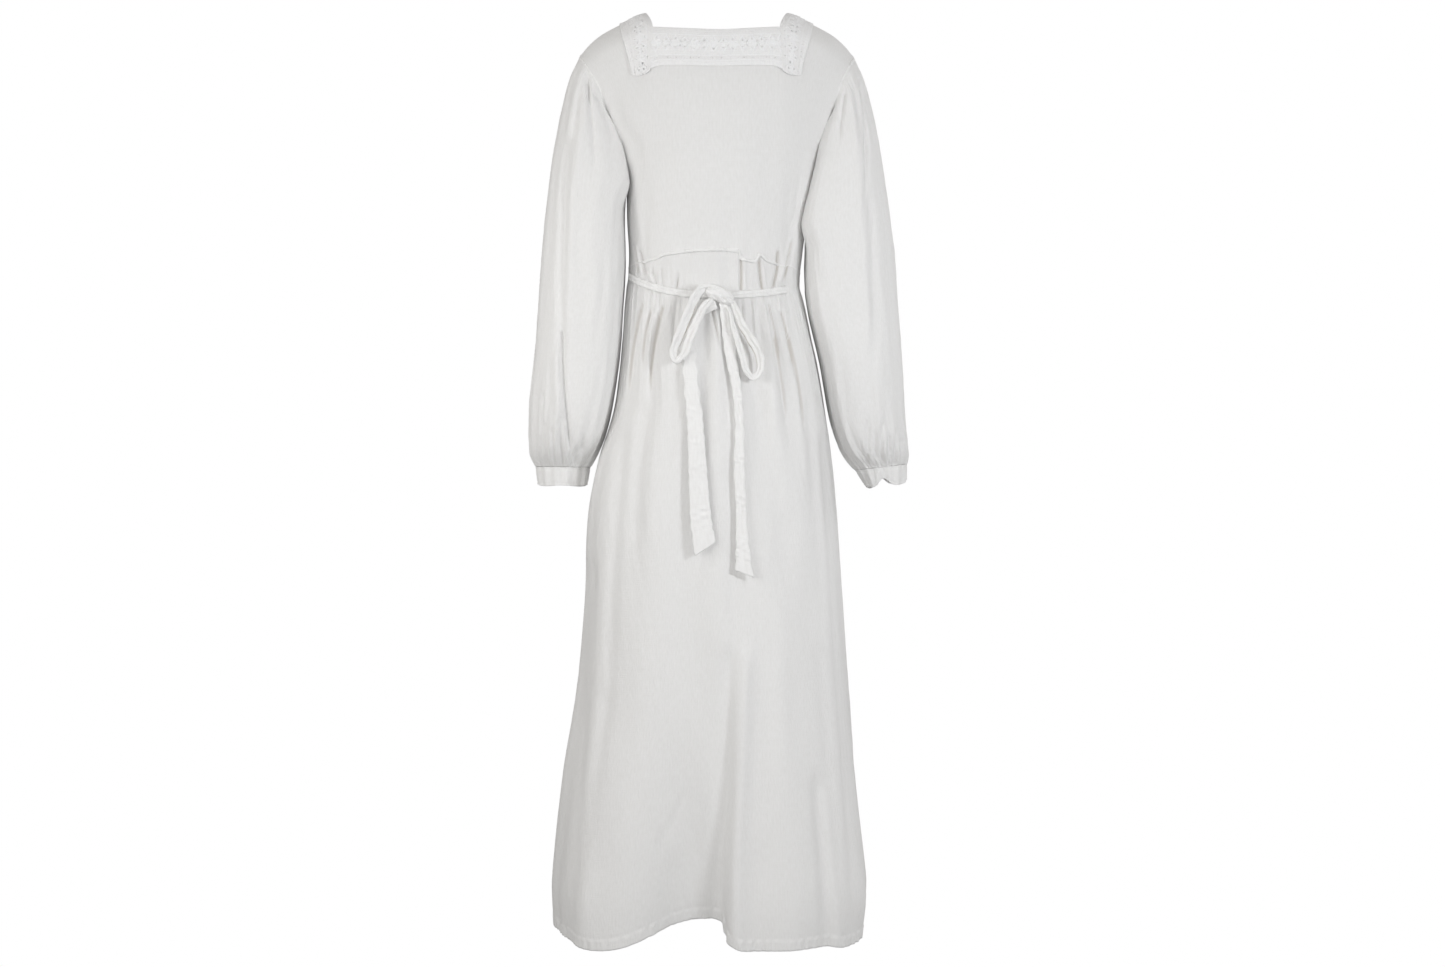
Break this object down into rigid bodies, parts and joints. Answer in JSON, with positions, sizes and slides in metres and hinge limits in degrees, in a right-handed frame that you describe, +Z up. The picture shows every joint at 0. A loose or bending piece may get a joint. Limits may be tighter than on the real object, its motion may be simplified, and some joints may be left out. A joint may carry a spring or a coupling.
{
  "type": "maxi dress",
  "caption": "White crinkled cotton gauze maxi dress with long gathered sleeves, a square lace collar and a tie belt bowed at the back.",
  "frame": {"origin": "midway between the high points of the two shoulder seams, where the wearer holds it up", "axes": "+Z up; the front faces -Y and the tied back +Y; +X is the wearer's left"},
  "size_m": [0.5549, 0.3925, 1.3208],
  "materials": {
    "gauze": "matte",
    "lace": "matte"
  },
  "bodies": {
    "root": {"back_bodice": "gauze", "front_bodice": "gauze", "back_skirt": "gauze", "front_skirt": "gauze", "sleeve_left": "gauze", "sleeve_right": "gauze", "cuff_left": "gauze", "cuff_right": "gauze", "tie_band_left": "gauze", "tie_band_right": "gauze", "bow_knot": "gauze", "bow_loop_left": "gauze", "bow_loop_right": "gauze", "tie_end_left": "gauze", "tie_end_right": "gauze", "collar_back": "lace", "collar_front": "lace", "collar_left": "lace", "collar_right": "lace"}
  },
  "joints": []
}
